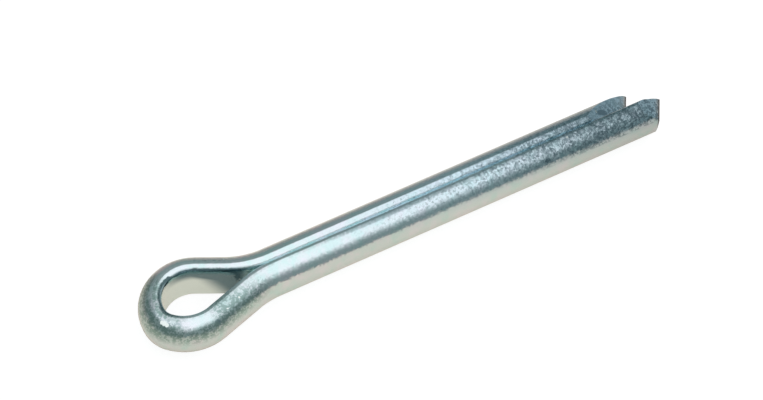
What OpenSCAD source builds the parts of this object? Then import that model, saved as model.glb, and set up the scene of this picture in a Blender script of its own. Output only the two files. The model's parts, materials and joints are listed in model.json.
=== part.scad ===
// Cotter pin (split pin), folded from one length of half-round wire.
//
// The middle of the wire is bent round into the eye, with its flat side inward. The two legs then run
// back together, flat against flat, so that the closed shank is round. One leg is longer, so that the
// legs can be told apart and spread. The ends are as the shears left them: cut at a slant, with a
// rolled-over upper edge.
//
// Frame: +X runs along the shank to the tips, +Z is square to the plane of the eye, and the origin is
// on the shank's axis where the straight shank begins, just under the eye. The short leg is on the +Y
// side.

/* [Wire] */
// Diameter of the closed shank
shank_d = 5.8; // [3:0.1:9]
// Gap between the flats of the two legs
leg_gap = 0.16; // [0.04:0.02:0.4]
// Radius along the two corners of the half-round wire
corner_r = 0.55; // [0.2:0.05:0.9]

/* [Legs] */
// Length of the short leg, from where the straight shank begins to its tip
short_leg = 48.8; // [20:0.1:120]
// How far the long leg stands out past the short one
prong = 2.8; // [0.5:0.1:8]

/* [Eye] */
// Radius to which the flat of the short leg is bent where it leaves the shank
short_neck_r = 11.7; // [9:0.1:18]
// Angle between the shank and the short leg's straight side of the eye
short_taper = 27.4; // [24:0.1:31]
// Length of that straight side
short_side = 3.4; // [2:0.1:6]
// Inner radius of the eye's shoulder, which follows that straight side
shoulder_r = 3.5; // [3:0.1:4.2]
// Angle through which the shoulder turns
shoulder_turn = 122; // [110:1:130]
// Inner radius of the tight bend at the back of the eye
back_r = 1.5; // [1.2:0.1:2.5]
// Angle through which the tight bend turns
back_turn = 38; // [25:1:50]
// Inner radius of the last bend, which leads into the long leg's straight side
side_r = 3.9; // [3.2:0.1:4.5]
// Angle between the shank and the long leg's straight side of the eye
long_taper = 18.1; // [15:0.1:22]
// Radius to which the flat of the long leg is bent where it joins the shank
long_neck_r = 12.4; // [9:0.1:18]

/* [Cut ends] */
// Angle of the cut across the legs, seen from above
cut_skew = 31; // [0:1:35]
// Angle by which the cut face leans back towards its lower edge
cut_lean = 8; // [0:1:30]
// Slope of the rolled-over top before it rounds down to the cut
roll_slope = 32; // [20:1:40]
// Slope that the rolled-over top reaches at the cut
roll_end_slope = 53; // [42:1:60]
// Radius of the rolled-over top
roll_r = 3.5; // [1:0.1:6]
// Height above the shank's axis at which the long leg's rolled-over top meets its cut
long_ridge = 0.9; // [-1:0.1:1]
// Height above the shank's axis at which the short leg's rolled-over top meets its cut
short_ridge = -0.3; // [-1:0.1:1]

/* [Hidden] */
$fn = 96;

shank_r = shank_d / 2;
flat_y = leg_gap / 2;
long_leg = short_leg + prong;
// The corner rounding touches the flat and the round side of the wire from inside
corner_y = flat_y + corner_r;
corner_z = sqrt(pow(shank_r - corner_r, 2) - pow(corner_y, 2));
// Anything this far out is clear of the section
clear_r = 3 * shank_r;
// The circles that round the corners are this much larger than the rounding, so that they cross the flat
// and the round side instead of only touching them
corner_crossing = 0.004;
// The bends run on this far into the wire at their ends, and are this much slimmer all round
bend_overlap = 0.1;
bend_inset = 0.01;
// The sloping top runs this far inside the circle that rounds it, so that the two cross
roll_overlap = 0.02;

// The eye is one run of straight sides and bends, from the short leg round to the long leg, with the
// wire's flat on the left. Each heading is the direction of that run where the named stretch begins.
shoulder_heading = 180 - short_taper;
back_heading = shoulder_heading + shoulder_turn;
side_heading = back_heading + back_turn;
long_heading = 360 + long_taper;

// Steps of the flat along X and Y, over a straight side and over a bend to the left with its flat inside.
// A bend to the right, with its flat outside, has a negative radius.
function straight_step(length, heading) = length * [cos(heading), sin(heading)];
function bend_step(r, from, to) = r * [sin(to) - sin(from), cos(from) - cos(to)];

// Points where the flat passes from one stretch to the next, from the start of the short leg's neck
short_leg_point = [0, flat_y];
short_side_point = short_leg_point + bend_step(-short_neck_r, 180, shoulder_heading);
shoulder_point = short_side_point + straight_step(short_side, shoulder_heading);
back_point = shoulder_point + bend_step(shoulder_r, shoulder_heading, back_heading);
side_point = back_point + bend_step(back_r, back_heading, side_heading);
long_side_point = side_point + bend_step(side_r, side_heading, long_heading);
// The long leg's straight side is as long as it takes to bring the two flats together
long_neck_step = bend_step(-long_neck_r, long_heading, 360);
long_side = (-flat_y - long_neck_step[1] - long_side_point[1]) / sin(long_taper);
long_neck_point = long_side_point + straight_step(long_side, long_heading);
long_leg_point = long_neck_point + long_neck_step;

// Both legs are straight from the origin on
short_start = min(0, -long_leg_point[0]);
long_start = short_start + long_leg_point[0];

// Half-round section of the wire, with its flat at x = flat_y and its round side centred on the origin.
// The inset makes it slimmer all round.
module wire_section(inset = 0) {
    difference() {
        circle(r = shank_r - inset);
        translate([flat_y + inset - clear_r, -clear_r]) square([clear_r, 2 * clear_r]);
        for (side = [-1, 1]) beyond_corner(side, inset);
    }
}

// What the rounding takes off one corner of the section: the wedge between the flat and the round side,
// outside the corner's circle
module beyond_corner(side, inset) {
    corner = [corner_y, side * corner_z];
    difference() {
        polygon([
            corner,
            corner * clear_r / (shank_r - corner_r),
            [flat_y - clear_r, side * clear_r],
            [flat_y - clear_r, side * corner_z]
        ]);
        translate(corner) circle(r = corner_r + corner_crossing - inset);
    }
}

// Straight length of wire along +X, for the leg on the +Y side
module straight_wire(length) {
    rotate([90, 0, 90]) linear_extrude(length) wire_section();
}

// Wire bent round the Z axis from the +X axis on, with its flat at flat_radius, facing in or out. A slim
// bend runs on a little at both ends, inside the full wire that it joins.
module bent_wire(flat_radius, angle, flat_inside, slim) {
    run_on = slim ? bend_overlap / flat_radius * 180 / PI : 0;
    rotate([0, 0, -run_on])
        rotate_extrude(angle = angle + 2 * run_on)
            translate([flat_inside ? flat_radius - flat_y : flat_radius + flat_y, 0])
                mirror([flat_inside ? 0 : 1, 0])
                    wire_section(slim ? bend_inset : 0);
}

// Stretches of the eye, each beginning at the origin along +X, with its flat on the left
module straight_side(length) {
    translate([0, flat_y]) mirror([0, 1, 0]) straight_wire(length);
}

module left_bend(flat_radius, turn, slim = true) {
    translate([0, flat_radius])
        rotate([0, 0, -90])
            bent_wire(flat_radius, turn, true, slim);
}

module right_bend(flat_radius, turn) {
    translate([0, -flat_radius])
        rotate([0, 0, 90 - turn])
            bent_wire(flat_radius, turn, false, true);
}

module from_point(point, heading) {
    translate([short_start, 0]) translate(point) rotate([0, 0, heading]) children();
}

module eye() {
    from_point(short_leg_point, 180) right_bend(short_neck_r, short_taper);
    from_point(short_side_point, shoulder_heading) straight_side(short_side);
    from_point(shoulder_point, shoulder_heading) left_bend(shoulder_r, shoulder_turn);
    from_point(back_point, back_heading) left_bend(back_r, back_turn, slim = false);
    from_point(side_point, side_heading) left_bend(side_r, long_heading - side_heading);
    from_point(long_side_point, long_heading) straight_side(long_side);
    from_point(long_neck_point, long_heading) right_bend(long_neck_r, long_taper);
}

// Side view of what the shears leave of a leg, with the ridge between its top and its cut face at the
// origin: the top slopes down, rounds over a circle and ends at the cut face, which leans back.
module kept_profile() {
    reach = long_leg + clear_r;
    cut_face = clear_r * [sin(cut_lean), cos(cut_lean)];
    roll_centre = -roll_r * [sin(roll_end_slope), cos(roll_end_slope)];
    slope_end = roll_centre + (roll_r - roll_overlap) * [sin(roll_slope), cos(roll_slope)];
    intersection() {
        union() {
            translate(roll_centre) circle(r = roll_r);
            polygon([
                slope_end,
                slope_end + reach * [-1, tan(roll_slope)],
                [-reach, -clear_r],
                [clear_r, -clear_r],
                roll_centre
            ]);
        }
        polygon([
            cut_face,
            reach * [-2, 1],
            reach * [-2, -1],
            -cut_face
        ]);
    }
}

// The same as a solid, with the ridge running across the leg at the angle of the cut
module kept_by_cut() {
    rotate([0, 0, -cut_skew])
        rotate([90, 0, 0])
            linear_extrude(2 * (long_leg + clear_r), center = true)
                kept_profile();
}

// The short leg is cut longest at its round side, so its length is taken there
module short_leg_wire() {
    intersection() {
        translate([short_start, 0]) straight_wire(long_leg);
        translate([short_leg, sqrt(pow(shank_r, 2) - pow(short_ridge, 2)), short_ridge])
            kept_by_cut();
    }
}

// The long leg is cut longest at its flat
module long_leg_wire() {
    intersection() {
        translate([long_start, 0]) mirror([0, 1, 0]) straight_wire(long_leg + clear_r);
        translate([long_leg, -flat_y, long_ridge])
            kept_by_cut();
    }
}

module cotter_pin() {
    color("#b7c3c8") {
        short_leg_wire();
        eye();
        long_leg_wire();
    }
}

cotter_pin();
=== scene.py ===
# Cotter pin: the zinc finish, the pale studio round it and the camera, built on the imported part.
# Lengths are in metres, in the part's own frame: +X runs along the shank to the tips, +Z is up.
import json
import math

import bpy
from mathutils import Matrix, Vector


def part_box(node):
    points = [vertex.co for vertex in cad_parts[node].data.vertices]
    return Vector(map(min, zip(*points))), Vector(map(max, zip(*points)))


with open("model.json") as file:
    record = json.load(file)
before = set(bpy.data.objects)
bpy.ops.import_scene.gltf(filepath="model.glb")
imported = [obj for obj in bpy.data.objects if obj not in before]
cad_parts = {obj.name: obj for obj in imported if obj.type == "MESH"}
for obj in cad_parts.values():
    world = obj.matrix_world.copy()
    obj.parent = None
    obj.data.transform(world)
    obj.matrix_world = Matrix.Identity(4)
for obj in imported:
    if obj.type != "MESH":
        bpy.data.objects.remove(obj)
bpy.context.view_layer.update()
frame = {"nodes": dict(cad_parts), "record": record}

MM_PER_M = 1000
PIN = frame["nodes"]["cotter_pin"]
LOWEST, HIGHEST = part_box("cotter_pin")
SHANK = next(mount for mount in frame["record"]["mounts"] if mount["name"] == "shank")
SHANK_R = SHANK["dims"]["r_mm"] / MM_PER_M
SHORT_LEG = SHANK["dims"]["length_mm"] / MM_PER_M

# The camera: how it is turned round the pin, raised and rolled, and how far it stands from the
# point that it looks at. That point is given from the middle of the eye, along the picture's own
# right and up.
CAMERA_TURN = math.radians(26.88)
CAMERA_RISE = math.radians(54.76)
CAMERA_ROLL = math.radians(-0.915)
CAMERA_DISTANCE = 121.96 * SHANK_R
EYE = Vector((-3.651 * SHANK_R, 0, 0))
AIM_RIGHT = 7.597 * SHANK_R
AIM_UP = 4.261 * SHANK_R
SENSOR_WIDTH = 36.0
FOCAL_LENGTH = 146.4
CLIP_START = 0.01

# The wire: how far its flat lies from the middle plane, the radius of its corners, the middle of the
# eye, which the flat faces all round its back, and the angle of the cut across the legs
FLAT = 0.00008
CORNER_R = 0.00055
EYE_MIDDLE_X = -3.6 * SHANK_R
CUT_SKEW = math.radians(31)

# Zinc, its faint tints, and what darkens or lightens it
ZINC = (0.664, 0.824, 0.850, 1)
ZINC_CYAN = (0.595, 0.83, 0.835, 1)
ZINC_LILAC = (0.72, 0.82, 0.88, 1)
ZINC_DULL = (0.20, 0.31, 0.36, 1)
ZINC_BEND = (0.27, 0.42, 0.40, 1)
# Painted shade along the seam, also the bluer tint of the legs' tops
ZINC_SEAM_SHADE_AND_BLUE = (0.50, 0.72, 0.82, 1)
# Painted shade inside the eye: the wedge at the neck and the strip under the rim
ZINC_INSIDE_SHADE = (0.18, 0.29, 0.33, 1)
# Painted light on the flat inside the eye
ZINC_INSIDE_LIGHT = (0.84, 1.0, 1.0, 1)
EDGE_DARK = (0.20, 0.23, 0.24, 1)
SCRATCH = (0.76, 0.90, 0.88, 1)
FLECK = (0.70, 0.92, 1.0, 1)

# From here on, a pair of numbers is a soft edge: where something begins and where it is complete,
# along one axis of the pin, or with the way the surface faces, or with the strength of a noise.
# Where there are four numbers, it passes from the third to the fourth. A pair by leg has a number
# for the near leg and one for the far leg.
UPPER_HALF_Z = (0, 0.5 * SHANK_R)

# The stretched back of the eye, its rough near side, and the rolled-over ends of the legs
STRETCHED_X = (-4.0 * SHANK_R, -4.6 * SHANK_R)
NEAR_SIDE_X = (0, -0.08 * SHORT_LEG)
NEAR_SIDE_Y = (-0.3 * SHANK_R, -SHANK_R)
NEAR_FRONT_X = (-3.4 * SHANK_R, -2.8 * SHANK_R)
NEAR_FRONT_Y = (-1.35 * SHANK_R, -1.6 * SHANK_R)
ROLLED_END_X = (SHORT_LEG - 1.6 * SHANK_R, SHORT_LEG - SHANK_R)
ROLLED_END_FACING_UP = (0.3, 0.5)

# Wear along the pin, its share on the bends, and what is left of it on the underside
WEAR_X = (-0.1 * SHORT_LEG, 0.95 * SHORT_LEG)
WEAR_Z = (0.15 * SHANK_R, 0.45 * SHANK_R)
WEAR_BENDS = 0.9
WEAR_UNDERSIDE = 0.15

# Faint tints in the zinc, and the bluer zinc of the legs
TINT_SCALE = 520
TINT_CYAN = (0.35, 0.5)
TINT_LILAC = (0.5, 0.65)
BLUISH_X = (0, 0.6 * SHORT_LEG)
BLUISH_BY_LEG = (0.45, 0.7)

# Mottling: two fine noises together, a wider one that gathers their dull spots in patches, where
# the spots are, and the light flecks on the rolled ends
FINE_SCALES = (4600, 1900)
PATCH_SCALE = 700
NOISE_ROUGHNESS = 0.6
SPOTS_FINE = (0.90, 1.12)
SPOTS_PATCHES = (0.25, 0.6, 0.5, 1.0)
SPOTS_WORN = (0.58, 1, 0.0, 0.85)
SPOTS_Y = (0.3 * SHANK_R, 0.9 * SHANK_R, 1.0, 0.35)
FLECKS_FINE = (1.0, 0.88)

# The grain of the eye's back and of its near side, and the painted highlight line round the back
BACK_FINE = (0.85, 1.1, 0.45, 1.0)
NEAR_SIDE_FINE = (0.85, 1.1, 0.35, 0.95)
BACK_HIGHLIGHT_OUTER = (-0.58, -0.50)
BACK_HIGHLIGHT_INNER = (-0.34, -0.42)
BACK_HIGHLIGHT_DULL = 0.3

# The flat inside the eye, painted lighter as painted light, and its painted shade: a wedge at the
# neck, whose edge climbs as it runs back from the shank, and a strip under the rim
INSIDE_FACING_IN = (0.6, 0.95)
INSIDE_X = (-0.7 * SHANK_R, -1.5 * SHANK_R)
WEDGE_SLOPE = 1.5
WEDGE_OFFSET = 0.01045
WEDGE_EDGE = (-0.0019, 0.0022)
RIM_Z = (0.0002, 0.0014)
RIM_X = (-0.0125, -0.0095)

# Marks on the top, in millimetres: place on the shank or eye, half length along X and half width.
# They are looked for near the top of the wire, and their outlines are ragged.
DARK_MARKS = ((44.25, 0.9, 1.0, 0.45), (-8.8, -4.4, 0.45, 0.25), (35.1, -2.2, 0.5, 0.2))
BRIGHT_MARKS = (
    (43.5, 1.1, 0.16, 0.22), (38.4, -0.9, 0.22, 0.16), (-4.7, 2.7, 0.08, 0.2),
    (-5.4, -2.8, 0.14, 0.12), (-7.2, -3.5, 0.16, 0.1),
    # The nick at the back of the eye
    (-14.42, -2.1, 0.30, 0.30), (-14.24, -2.38, 0.26, 0.26), (-14.6, -1.82, 0.26, 0.26),
)
DARK_MARK_DEPTH = 0.9
MARK_Z = 0.8 * SHANK_R
MARK_HALF_HEIGHT = SHANK_R / 0.6
MARK_EDGE = (1.0, 0.6)
RAGGED_SCALE = 1500
RAGGED_REACH = 0.00022

# The thin dark line along each cut. Each cut has the place where its leg is longest, and its leg's
# side of the seam.
CUT_LINE = (-0.000224, -0.00014)
CUTS = ((HIGHEST.x, -FLAT, -1), (SHORT_LEG, SHANK_R, 1))

# The way the flat faces is found from the surface's normal, with this share of the way found from
# the place alone. The lean is how far the surface faces that way: 1 on the flat and -1 opposite it.
INWARD_FROM_PLACE = 0.15

# How far the light shows the flat as crowned, and the two top corners as worn round
CROWN = 0.55
CROWN_Z = (0.40 * SHANK_R, 0.80 * SHANK_R)
CROWN_BEGINS_BY_LEG = (-0.25, -0.42)
CROWN_COMPLETE = 0.1
CROWN_FAR_EYE_X = (-0.5 * SHANK_R, -2 * SHANK_R, 0.0, 0.15)
CROWN_FAR_EYE_Y = (0, SHANK_R)
WORN_DEPTH = (0.62 * SHANK_R, 0.27 * SHANK_R)
WORN_LEAN = (0.9, 0.3)
WORN_BY_LEG = (0.50, 0.03)
WORN_EYE_X = (0, 5 * SHANK_R, 0.6, 1.0)
WORN_TIPS_X = (0.3 * SHORT_LEG, 0.8 * SHORT_LEG, 1.0, 0.65)
# Along X, where the corner shown as worn also gets painted shade along the seam
SEAM_SHADE_X = (SHANK_R, 5 * SHANK_R)
# The shank faces along X less than this, and its rolled ends face along X more
SHANK_FACING_X = 0.08

# How the light shows the insides of the eye's straight sides as turned back, and the outside of the
# eye as turned down
TURNED_BACK = (-0.18, 0.0, 0.0)
TURNED_BACK_X = (0.5 * SHANK_R, -SHANK_R)
TURNED_BACK_END_X = (-4.2 * SHANK_R, -3.2 * SHANK_R)
TURNED_BACK_LEAN = (0.0, 0.4)
TURNED_BACK_Z = (0.3 * SHANK_R, 0.6 * SHANK_R)
TURNED_DOWN = (0.0, 0.0, -0.08)
TURNED_DOWN_Y = (-SHANK_R, -1.35 * SHANK_R)
TURNED_DOWN_X = (-4.4 * SHANK_R, -5.0 * SHANK_R)
TURNED_DOWN_LEAN = (-0.5, -0.75)
UP = (0.0, 0.0, 1.0)

# Roughness, how far the crystals of the zinc turn the normal, and its fine unevenness
ROUGH_EYE = 0.13
ROUGH_TIPS = 0.22
ROUGH_BENDS = 0.30
ROUGH_NICKS = 0.35
CRYSTAL_SCALE = 4200
CRYSTAL_TURN_EYE = 0.065
CRYSTAL_TURN_BY_LEG = (0.07, 0.05)
UNEVEN_SCALE = 1500
UNEVEN_DEPTH = 0.000016
MIDDLE_GREY = (0.5, 0.5, 0.5)

# The light, by the direction it comes from: X along the pin, and how far it leans across it, from
# -1 at the horizon in front to 1 at the horizon behind
LIGHT_FRONT = (-0.98, -0.62, 0.0, 1.0)
LIGHT_BACK = (0.35, 0.95, 1.0, 0.0)
LIGHT_EYE = (-0.62, -0.40, 0.0, 1.0)
LIGHT = (1.22, 1.12, 1.14, 1)
ROOM = (0.255, 0.29, 0.285, 1)
HORIZON = 0.0001

# The round dark card that stands past the tips, where the light ends: a dim glowing sheet that
# paints shade into the metal's reflections. Its colour and rim go by the distance from its middle
CARD = (0.11, 0.15, 0.16, 1)
CARD_MIDDLE = (0.26, 0.30, 0.325, 1)
CARD_MIDDLE_R = (0.045, 0.090, 1.0, 0.0)
CARD_X = 0.111
CARD_RIM = (0.200, 0.290, 1.0, 0.0)

# The floor, as the metal reflects it, with a painted pool of light and painted shade over the
# distance in front of and behind the pin and past the tips, and as the camera sees it
FLOOR_FRONT = (-0.075, -0.030, 0.0, 1.0)
FLOOR_BACK = (0.006, 0.022, 1.0, 0.0)
FLOOR_TIPS = (0.022, 0.085, 1.0, 0.0)
FLOOR_CREAM = (0.53, 0.46, 0.392, 1)
FLOOR_CREAM_DIM = (0.24, 0.212, 0.20, 1)
FLOOR_CREAM_GLOW = 0.75
FLOOR_PAPER = (0.22, 0.235, 0.235, 1)
FLOOR_GLOW = 0.88
FLOOR_REACH = 1.5


def camera_axes():
    """Right, up and back of the camera, in the part's frame."""
    turn, rise, roll = CAMERA_TURN, CAMERA_RISE, CAMERA_ROLL
    right = Vector((math.cos(turn), -math.sin(turn), 0))
    back = Vector((
        -math.sin(turn) * math.cos(rise),
        -math.cos(turn) * math.cos(rise),
        math.sin(rise),
    ))
    up = back.cross(right)
    return (
        right * math.cos(roll) + up * math.sin(roll),
        up * math.cos(roll) - right * math.sin(roll),
        back,
    )


def add_camera():
    right, up, back = camera_axes()
    place = EYE + right * AIM_RIGHT + up * AIM_UP + back * CAMERA_DISTANCE
    data = bpy.data.cameras.new("camera")
    data.sensor_width = SENSOR_WIDTH
    data.lens = FOCAL_LENGTH
    data.clip_start = CLIP_START
    camera = bpy.data.objects.new("camera", data)
    rotation = Matrix((right, up, back)).transposed().to_4x4()
    camera.matrix_world = Matrix.Translation(place) @ rotation
    bpy.context.scene.collection.objects.link(camera)
    bpy.context.scene.camera = camera


class Nodes:
    """Short calls for building one node tree. A value is a constant or another node's output."""

    def __init__(self, tree):
        self.tree = tree
        tree.nodes.clear()

    def add(self, kind, **settings):
        node = self.tree.nodes.new(kind)
        for name, value in settings.items():
            setattr(node, name, value)
        return node

    def set(self, target, value):
        """Gives an input its value, or leaves it alone for None."""
        if isinstance(value, bpy.types.NodeSocket):
            self.tree.links.new(value, target)
        elif value is not None:
            target.default_value = value

    def feed(self, kind, *values, output=0, **settings):
        """Adds a node and sets its first inputs, in their order."""
        node = self.add(kind, **settings)
        for target, value in zip(node.inputs, values):
            self.set(target, value)
        return node.outputs[output]

    def make(self, kind, inputs, output=0, **settings):
        """Adds a node and sets its inputs by their names."""
        node = self.add(kind, **settings)
        for name, value in inputs.items():
            self.set(node.inputs[name], value)
        return node.outputs[output]

    def finish(self, kind, shader):
        self.set(self.add(kind).inputs["Surface"], shader)

    def math(self, operation, *values, clamp=False):
        return self.feed("ShaderNodeMath", *values, operation=operation, use_clamp=clamp)

    def product(self, first, *others):
        for other in others:
            first = self.math("MULTIPLY", first, other)
        return first

    def largest(self, first, *others):
        for other in others:
            first = self.math("MAXIMUM", first, other)
        return first

    def combine(self, x, y, z):
        return self.feed("ShaderNodeCombineXYZ", x, y, z)

    def split(self, vector):
        node = self.add("ShaderNodeSeparateXYZ")
        self.set(node.inputs[0], vector)
        return node.outputs

    def vector(self, operation, *values, output=0):
        return self.feed("ShaderNodeVectorMath", *values, output=output, operation=operation)

    def length(self, vector):
        return self.vector("LENGTH", vector, output="Value")

    def dot(self, first, second):
        return self.vector("DOT_PRODUCT", first, second, output="Value")

    def scaled(self, vector, scale):
        return self.make("ShaderNodeVectorMath", {0: vector, "Scale": scale}, operation="SCALE")

    def ramp(self, value, low, high, to_low=0.0, to_high=1.0, smooth=True):
        """Value from low to high becomes to_low to to_high, held outside."""
        kind = "SMOOTHSTEP" if smooth else "LINEAR"
        numbers = (value, low, high, to_low, to_high)
        return self.feed("ShaderNodeMapRange", *numbers, interpolation_type=kind)

    def mix(self, factor, first, second):
        """Two colours, mixed."""
        node = self.add("ShaderNodeMix", data_type="RGBA")
        self.set(node.inputs["Factor"], factor)
        self.set(next(s for s in node.inputs if s.identifier == "A_Color"), first)
        self.set(next(s for s in node.inputs if s.identifier == "B_Color"), second)
        return next(s for s in node.outputs if s.identifier == "Result_Color")

    def mix_shader(self, factor, first, second):
        """Two shaders, mixed. None is black."""
        return self.feed("ShaderNodeMixShader", factor, first, second)

    def add_shader(self, first, second):
        return self.feed("ShaderNodeAddShader", first, second)

    def noise(self, point, scale, detail=2.0, roughness=0.5, output="Fac"):
        inputs = {"Vector": point, "Scale": scale, "Detail": detail, "Roughness": roughness}
        return self.make("ShaderNodeTexNoise", inputs, output)


def new_material(name):
    """A new material, and its empty node tree."""
    material = bpy.data.materials.new(name)
    material.use_nodes = True
    return material, Nodes(material.node_tree)


def grey(value):
    return (value, value, value, 1)


class Place:
    """Where a point of the pin's surface lies, how it faces, and which parts of the pin it is
    in."""

    def __init__(self, n):
        self.point = n.add("ShaderNodeTexCoord").outputs["Object"]
        self.x, self.y, self.z = n.split(self.point)
        self.normal = n.add("ShaderNodeNewGeometry").outputs["Normal"]
        self.facing_x, self.facing_y, self.facing_up = n.split(self.normal)
        self.inward = inward(n, self)
        self.lean = n.dot(self.normal, self.inward)
        self.upper_half = n.ramp(self.z, *UPPER_HALF_Z)
        self.stretched = stretched(n, self)
        self.near_side = near_side(n, self)
        self.rolled_end = rolled_end(n, self)


def inward(n, at):
    """The level direction in which the wire's flat faces: roughly from the place, and then exactly
    from the normal."""
    to_middle = n.math("SUBTRACT", n.math("MAXIMUM", at.x, EYE_MIDDLE_X), at.x)
    rough = n.vector("NORMALIZE", n.combine(to_middle, n.math("MULTIPLY", at.y, -1.0), 0.0))
    level = n.combine(at.facing_x, at.facing_y, 0.0)
    exact = n.scaled(level, n.math("SIGN", n.dot(level, rough)))
    return n.vector("NORMALIZE", n.vector("ADD", exact, n.scaled(rough, INWARD_FROM_PLACE)))


def stretched(n, at):
    """The back of the eye, where the tight bend has left the surface rough."""
    return n.product(n.ramp(at.x, *STRETCHED_X), at.upper_half)


def near_side(n, at):
    """The near straight side of the eye, which is as rough as the tips."""
    side = n.product(n.ramp(at.x, *NEAR_SIDE_X), n.ramp(at.y, *NEAR_SIDE_Y), at.upper_half)
    return n.product(side, n.largest(n.ramp(at.x, *NEAR_FRONT_X), n.ramp(at.y, *NEAR_FRONT_Y)))


def rolled_end(n, at):
    """The rolled-over tops of the legs' ends."""
    return n.product(n.ramp(at.x, *ROLLED_END_X), n.ramp(at.facing_up, *ROLLED_END_FACING_UP))


def by_leg(n, at, near, far):
    """One value on the near leg and another on the far one."""
    return n.ramp(at.y, -FLAT, FLAT, near, far)


def wear(n, at):
    """How far the finish has turned from smooth to mottled: 0 where smooth and 1 at the tips. The
    bends of the eye have stretched it too. The underside keeps more of its shine."""
    shank = n.ramp(at.x, *WEAR_X, smooth=False)
    bends = n.product(n.largest(at.near_side, at.stretched), WEAR_BENDS)
    top = n.largest(n.ramp(at.z, *WEAR_Z), at.rolled_end)
    return n.product(n.largest(shank, bends), n.ramp(top, 0, 1, WEAR_UNDERSIDE, 1.0))


def marks(n, at, places):
    """Small ragged spots, each around its own place."""
    shift = n.vector("SUBTRACT", n.noise(at.point, RAGGED_SCALE, output="Color"), MIDDLE_GREY)
    ragged = n.vector("ADD", at.point, n.scaled(shift, RAGGED_REACH))
    found = []
    for x, y, half_length, half_width in places:
        offset = n.vector("SUBTRACT", ragged, (x / MM_PER_M, y / MM_PER_M, MARK_Z))
        sizes = (MM_PER_M / half_length, MM_PER_M / half_width, 1 / MARK_HALF_HEIGHT)
        offset = n.vector("MULTIPLY", offset, sizes)
        found.append(n.ramp(n.length(offset), *MARK_EDGE))
    return n.largest(*found)


def cut_line(n, at):
    """The last strip of each leg before its slanting cut."""
    found = []
    for longest_x, longest_y, side in CUTS:
        along = n.math("MULTIPLY", n.math("SUBTRACT", at.x, longest_x), math.cos(CUT_SKEW))
        across = n.math("MULTIPLY", n.math("SUBTRACT", at.y, longest_y), -math.sin(CUT_SKEW))
        strip = n.ramp(n.math("ADD", along, across), *CUT_LINE)
        on_leg = n.math("GREATER_THAN", n.math("MULTIPLY", at.y, side), 0.0)
        found.append(n.product(strip, on_leg))
    return n.largest(*found)


def inside_eye(n, at):
    """The wire's flat inside the eye, painted lighter as painted light, and how far painted shade
    darkens it there.
    """
    flat = n.product(n.ramp(at.lean, *INSIDE_FACING_IN), n.ramp(at.x, *INSIDE_X))
    climb = n.math("MULTIPLY_ADD", at.x, WEDGE_SLOPE, n.math("ADD", at.z, WEDGE_OFFSET))
    rim = n.product(n.ramp(at.z, *RIM_Z), n.ramp(at.x, *RIM_X))
    inside_shade = n.math("ADD", n.ramp(climb, *WEDGE_EDGE), rim, clamp=True)
    return flat, n.product(flat, inside_shade)


def crown(n, at):
    """How far the flat is shown as crowned. On the far side of the eye the crown reaches
    further."""
    far_eye = n.product(n.ramp(at.x, *CROWN_FAR_EYE_X), n.ramp(at.y, *CROWN_FAR_EYE_Y))
    lean = n.math("ADD", at.lean, far_eye)
    inner = n.ramp(lean, by_leg(n, at, *CROWN_BEGINS_BY_LEG), CROWN_COMPLETE)
    return n.product(n.ramp(at.z, *CROWN_Z, 0.0, CROWN, smooth=False), inner)


def worn_corner(n, at):
    """How far the top corners are shown as worn round, most on the near leg."""
    # How deep inside the flat this point of the section lies, on its round side or on its corner
    corner = n.math("SUBTRACT", CORNER_R, n.math("MULTIPLY", at.lean, CORNER_R))
    depth = n.math("MAXIMUM", n.math("MULTIPLY", at.lean, -SHANK_R), corner)
    along = n.product(
        by_leg(n, at, *WORN_BY_LEG),
        n.ramp(at.x, *WORN_EYE_X),
        n.ramp(at.x, *WORN_TIPS_X),
    )
    return n.product(
        n.ramp(depth, *WORN_DEPTH),
        at.upper_half,
        along,
        n.ramp(at.lean, *WORN_LEAN),
    )


def turned_back(n, at):
    """The insides of the eye's straight sides, and the whole near side."""
    sides = n.product(n.ramp(at.x, *TURNED_BACK_X), n.ramp(at.x, *TURNED_BACK_END_X))
    inside = n.product(n.ramp(at.lean, *TURNED_BACK_LEAN), n.ramp(at.z, *TURNED_BACK_Z))
    return n.largest(at.near_side, n.product(sides, inside))


def turned_down(n, at):
    """The outside of the eye, at its near side and its back."""
    outside = n.largest(n.ramp(at.y, *TURNED_DOWN_Y), n.ramp(at.x, *TURNED_DOWN_X))
    return n.product(outside, n.ramp(at.lean, *TURNED_DOWN_LEAN))


def section_normal(n, at):
    """The surface normal, with the flat of the wire a little crowned and its corners worn rounder
    than the solid's, and how far the seam gets painted shade."""
    worn = worn_corner(n, at)
    change = n.vector("ADD", n.combine(0.0, 0.0, crown(n, at)), n.scaled(at.inward, worn))
    # The rolled ends of the legs keep the solid's own normal
    level = n.math("LESS_THAN", n.math("ABSOLUTE", at.facing_x), SHANK_FACING_X)
    not_rolled = n.largest(level, n.math("LESS_THAN", at.x, 0.0))
    change = n.scaled(change, not_rolled)
    change = n.vector("ADD", change, n.scaled(TURNED_BACK, turned_back(n, at)))
    change = n.vector("ADD", change, n.scaled(TURNED_DOWN, turned_down(n, at)))
    # Where the corner is shown as worn, the seam also gets painted shade in its colour
    seam_shade = n.product(worn, not_rolled, n.ramp(at.x, *SEAM_SHADE_X))
    return n.vector("NORMALIZE", n.vector("ADD", at.normal, change)), seam_shade


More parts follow.
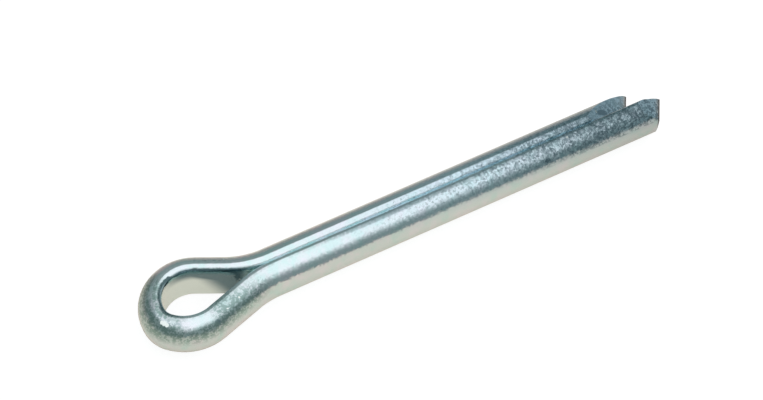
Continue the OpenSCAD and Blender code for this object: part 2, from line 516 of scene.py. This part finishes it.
def crystal_normal(n, at, normal, worn):
    """The normal, turned a little at random on each crystal of the zinc, and on fine unevenness."""
    inputs = {"Vector": at.point, "Scale": CRYSTAL_SCALE}
    crystals = n.make("ShaderNodeTexVoronoi", inputs, "Color", feature="F1")
    tips = by_leg(n, at, *CRYSTAL_TURN_BY_LEG)
    amount = n.ramp(worn, 0, 1, CRYSTAL_TURN_EYE, tips, smooth=False)
    turn = n.scaled(n.vector("SUBTRACT", crystals, MIDDLE_GREY), amount)
    return n.make("ShaderNodeBump", {
        "Strength": 1.0,
        "Distance": UNEVEN_DEPTH,
        "Height": n.noise(at.point, UNEVEN_SCALE, detail=3, roughness=NOISE_ROUGHNESS),
        "Normal": n.vector("NORMALIZE", n.vector("ADD", normal, turn)),
    })


def dull_spots(n, at, fine, worn):
    """Dull spots where the finish is worn, gathered in patches, and the dark marks."""
    patches = n.noise(at.point, PATCH_SCALE, roughness=NOISE_ROUGHNESS)
    spots = n.product(
        n.ramp(fine, *SPOTS_FINE),
        n.ramp(patches, *SPOTS_PATCHES),
        n.ramp(worn, *SPOTS_WORN, smooth=False),
        n.ramp(at.y, *SPOTS_Y),
    )
    return n.largest(spots, n.product(marks(n, at, DARK_MARKS), DARK_MARK_DEPTH))


def dull_bends(n, at, fine):
    """The grain of the eye's back, less along the painted highlight line round it, and of its near
    side.
    """
    # A painted highlight along the crest of the back: the grain is mostly left off this line
    highlight_line = n.product(n.ramp(at.lean, *BACK_HIGHLIGHT_OUTER), n.ramp(at.lean, *BACK_HIGHLIGHT_INNER))
    highlight_line = n.ramp(highlight_line, 0, 1, 1.0, BACK_HIGHLIGHT_DULL)
    return n.largest(
        n.product(at.stretched, n.ramp(fine, *BACK_FINE), highlight_line),
        n.product(at.near_side, n.ramp(fine, *NEAR_SIDE_FINE)),
    )


def zinc_colour(n, at, worn, seam_shade, nicks):
    """The tints and the painted shade along the seam first, then the wear with the painted highlight
    line, the painted light and painted shade inside the eye, the cut edges and the nicks.
    """
    tint = n.noise(at.point, TINT_SCALE, detail=3, roughness=NOISE_ROUGHNESS)
    colour = n.mix(n.ramp(tint, *TINT_CYAN), ZINC_CYAN, ZINC)
    colour = n.mix(n.ramp(tint, *TINT_LILAC), colour, ZINC_LILAC)
    bluish = n.ramp(at.x, *BLUISH_X, 0.0, by_leg(n, at, *BLUISH_BY_LEG))
    bluish = n.product(bluish, at.upper_half)
    # Painted shade along the seam, and the bluer tint of the legs' tops
    colour = n.mix(n.largest(seam_shade, bluish), colour, ZINC_SEAM_SHADE_AND_BLUE)
    fine = n.math("ADD", *(n.noise(at.point, scale) for scale in FINE_SCALES))
    colour = n.mix(dull_spots(n, at, fine, worn), colour, ZINC_DULL)
    colour = n.mix(dull_bends(n, at, fine), colour, ZINC_BEND)
    flecks = n.product(n.ramp(fine, *FLECKS_FINE), at.rolled_end)
    colour = n.mix(flecks, colour, FLECK)
    inside_light, inside_shade = inside_eye(n, at)
    # Painted light on the flat inside the eye, then painted shade at the neck's wedge and under the
    # rim
    colour = n.mix(inside_light, colour, ZINC_INSIDE_LIGHT)
    colour = n.mix(inside_shade, colour, ZINC_INSIDE_SHADE)
    colour = n.mix(cut_line(n, at), colour, EDGE_DARK)
    return n.mix(nicks, colour, SCRATCH)


def zinc_roughness(n, at, worn, nicks):
    """Rougher where the zinc is worn, bent or nicked."""
    return n.largest(
        n.ramp(worn, 0, 1, ROUGH_EYE, ROUGH_TIPS, smooth=False),
        n.product(at.stretched, ROUGH_BENDS),
        n.product(at.near_side, ROUGH_BENDS),
        n.product(nicks, ROUGH_NICKS),
    )


def zinc_plated_steel():
    """Bright bluish zinc, smooth at the eye and more and more mottled towards the tips. The nicks
    in it are turned up to the light."""
    material, n = new_material("zinc_plated_steel")
    at = Place(n)
    worn = wear(n, at)
    nicks = marks(n, at, BRIGHT_MARKS)
    normal, seam_shade = section_normal(n, at)
    normal = n.vector("ADD", normal, n.scaled(UP, nicks))
    metal = n.make("ShaderNodeBsdfPrincipled", {
        "Metallic": 1.0,
        "Base Color": zinc_colour(n, at, worn, seam_shade, nicks),
        "Roughness": zinc_roughness(n, at, worn, nicks),
        "Normal": crystal_normal(n, at, normal, worn),
    })
    n.finish("ShaderNodeOutputMaterial", metal)
    return material


def floor_material():
    """White for the camera, with the pin's soft shadow. In the metal it is a cream sheet with a
    painted pool of light in front of the pin, and painted shade further off and behind it."""
    material, n = new_material("pale_floor")
    rays = n.add("ShaderNodeLightPath").outputs
    paper = n.make("ShaderNodeBsdfDiffuse", {"Color": FLOOR_PAPER})
    glow = n.make("ShaderNodeEmission", {"Color": grey(FLOOR_GLOW)})
    seen = n.add_shader(paper, n.mix_shader(rays["Is Camera Ray"], None, glow))

    along, across, _ = n.split(n.add("ShaderNodeTexCoord").outputs["Object"])
    # A painted pool of light in front of the pin; painted shade further off, behind it and past the
    # tips
    painted_light_pool = n.product(
        n.ramp(across, *FLOOR_FRONT),
        n.ramp(across, *FLOOR_BACK),
        n.ramp(along, *FLOOR_TIPS),
    )
    colour = n.mix(painted_light_pool, FLOOR_CREAM_DIM, FLOOR_CREAM)
    cream = n.make("ShaderNodeBsdfDiffuse", {"Color": colour})
    cream_glow = {"Color": colour, "Strength": FLOOR_CREAM_GLOW}
    reflected = n.add_shader(cream, n.make("ShaderNodeEmission", cream_glow))
    reflecting = n.largest(rays["Is Glossy Ray"], rays["Is Transmission Ray"])
    n.finish("ShaderNodeOutputMaterial", n.mix_shader(reflecting, seen, reflected))
    return material


def card_material():
    """Painted shade for the metal's reflections: dark, a little lighter in the middle, fading out at
    the rim.
    """
    material, n = new_material("reflected_shade_card")
    from_middle = n.length(n.add("ShaderNodeTexCoord").outputs["Object"])
    colour = n.mix(n.ramp(from_middle, *CARD_MIDDLE_R), CARD, CARD_MIDDLE)
    dark = n.make("ShaderNodeEmission", {"Color": colour})
    clear = n.make("ShaderNodeBsdfTransparent", {})
    card = n.mix_shader(n.ramp(from_middle, *CARD_RIM), clear, dark)
    n.finish("ShaderNodeOutputMaterial", card)
    return material


def add_sheet(name, corners, material):
    """A flat sheet of the studio round the pin."""
    mesh = bpy.data.meshes.new(name)
    mesh.from_pydata(corners, [], [(0, 1, 2, 3)])
    mesh.materials.append(material)
    sheet = bpy.data.objects.new(name, mesh)
    bpy.context.scene.collection.objects.link(sheet)
    return sheet


def add_floor():
    reach = FLOOR_REACH
    corners = [(x, y, LOWEST.z) for x, y in (
        (-reach, -reach), (reach, -reach), (reach, reach), (-reach, reach),
    )]
    floor = add_sheet("floor", corners, floor_material())


def add_card():
    """Only the metal sees the card, as painted shade in its reflections: it casts no shadow."""
    reach = CARD_RIM[1]
    corners = [(0, -reach, 0), (0, reach, 0), (0, reach, reach), (0, -reach, reach)]
    card = add_sheet("card", corners, card_material())
    card.location.x = CARD_X
    card.visible_camera = card.visible_diffuse = card.visible_shadow = False


def add_world():
    """White to the camera. To the metal it is a dim room with one broad soft light overhead."""
    world = bpy.data.worlds.new("studio")
    world.use_nodes = True
    bpy.context.scene.world = world
    n = Nodes(world.node_tree)
    x, y, z = n.split(n.add("ShaderNodeTexCoord").outputs["Generated"])
    # Directions under the horizon count as just above it
    height = n.math("MAXIMUM", z, HORIZON)
    length = n.math("SQRT", n.math("ADD", n.product(y, y), n.product(height, height)))
    across = n.math("DIVIDE", y, length)
    light = n.product(
        n.ramp(across, *LIGHT_FRONT),
        n.ramp(across, *LIGHT_BACK),
        n.ramp(x, *LIGHT_EYE),
    )
    studio = n.make("ShaderNodeBackground", {"Color": n.mix(light, ROOM, LIGHT)})
    white = n.make("ShaderNodeBackground", {"Color": grey(1)})
    seen = n.add("ShaderNodeLightPath").outputs["Is Camera Ray"]
    n.finish("ShaderNodeOutputWorld", n.mix_shader(seen, studio, white))


def dress_pin():
    material = zinc_plated_steel()
    PIN.data.materials.clear()
    PIN.data.materials.append(material)


add_camera()
add_floor()
add_world()
add_card()
dress_pin()
bpy.context.scene.view_settings.view_transform = "Standard"
